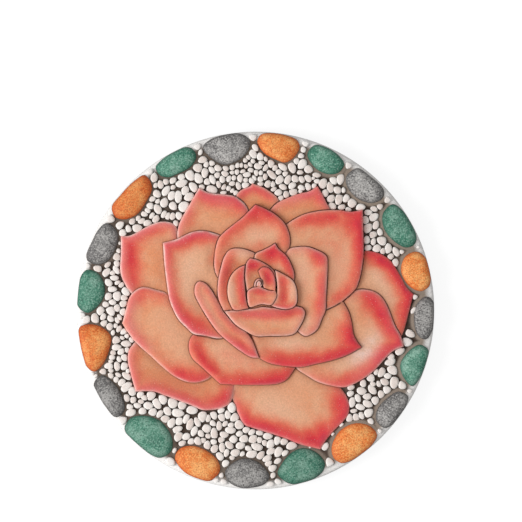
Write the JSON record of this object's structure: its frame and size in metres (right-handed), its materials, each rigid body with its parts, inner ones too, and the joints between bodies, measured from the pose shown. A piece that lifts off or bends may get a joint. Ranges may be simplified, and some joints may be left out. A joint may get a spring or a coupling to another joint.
{
  "type": "garden stepping stone",
  "caption": "Round cast garden stepping stone with a rose in relief on a bed of white pebbles, a ring of coloured border pebbles and a keyhole hanger in its flat back.",
  "frame": {"origin": "middle of the flat back, which lies on the floor", "axes": "+Z out of the decorated face, +Y towards the top of the design, where the hanger is"},
  "size_m": [0.254, 0.254, 0.0231],
  "materials": {
    "cast_stone": "matt, hand-painted on the face, bare dark grey on the back",
    "hanger": "zinc-plated sheet"
  },
  "bodies": {
    "root": {"cast_stone": "cast_stone", "keyhole_hanger": "hanger"}
  },
  "joints": []
}
